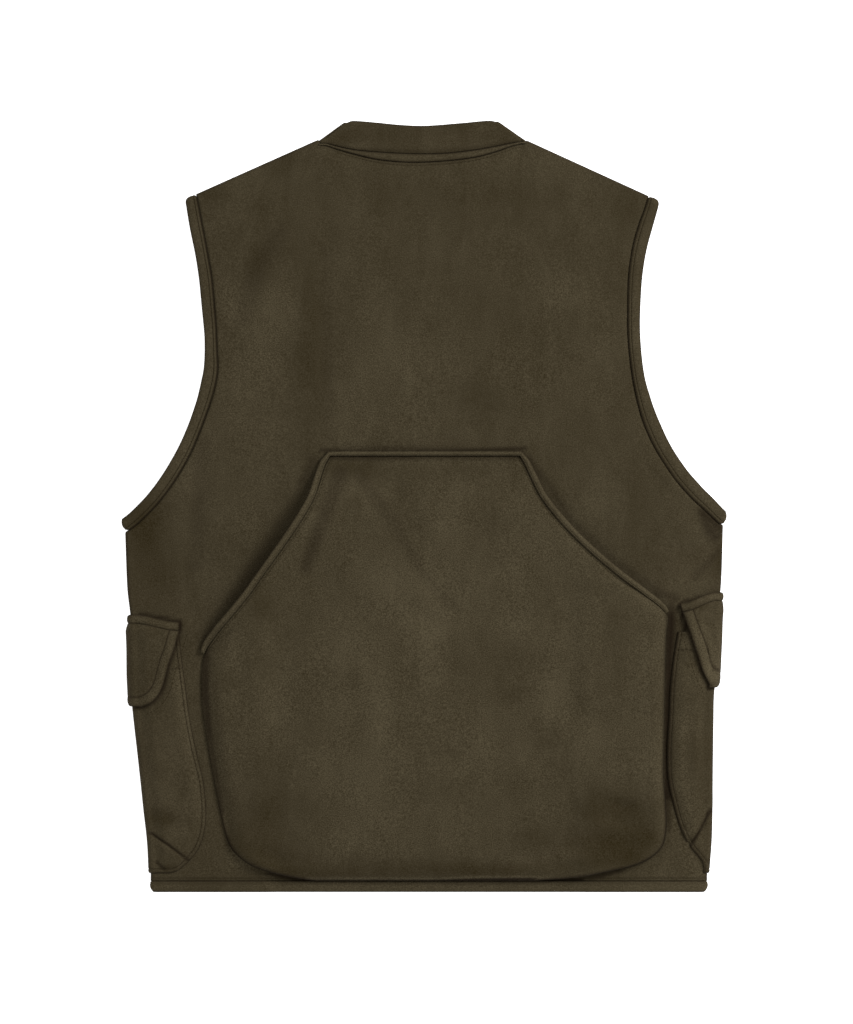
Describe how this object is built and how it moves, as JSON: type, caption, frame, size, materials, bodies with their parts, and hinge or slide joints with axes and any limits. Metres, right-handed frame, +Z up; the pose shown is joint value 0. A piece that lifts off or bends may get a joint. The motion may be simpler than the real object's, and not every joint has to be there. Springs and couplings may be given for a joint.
{
  "type": "suede vest",
  "caption": "Boxy suede vest laid flat, back upward, with a stand collar, bound edges, a large back pouch and flapped side pockets.",
  "frame": {"origin": "middle of the garment's outline, on the surface that it lies on", "axes": "+Y up the garment from hem to collar, +X to the right as the back is seen, +Z up from the surface"},
  "size_m": [0.5766, 0.7316, 0.0209],
  "materials": {
    "suede": "brushed matte nap",
    "suede_edge": "rolled and sewn matte nap"
  },
  "bodies": {
    "root": {"back": "suede", "front_left": "suede", "front_right": "suede", "collar": "suede", "neck_band": "suede_edge", "hem_band": "suede_edge", "pouch": "suede", "pouch_binding": "suede_edge", "armhole_binding_left": "suede_edge", "armhole_binding_right": "suede_edge", "pocket_left": "suede", "pocket_right": "suede", "flap_left": "suede", "flap_right": "suede"}
  },
  "joints": []
}
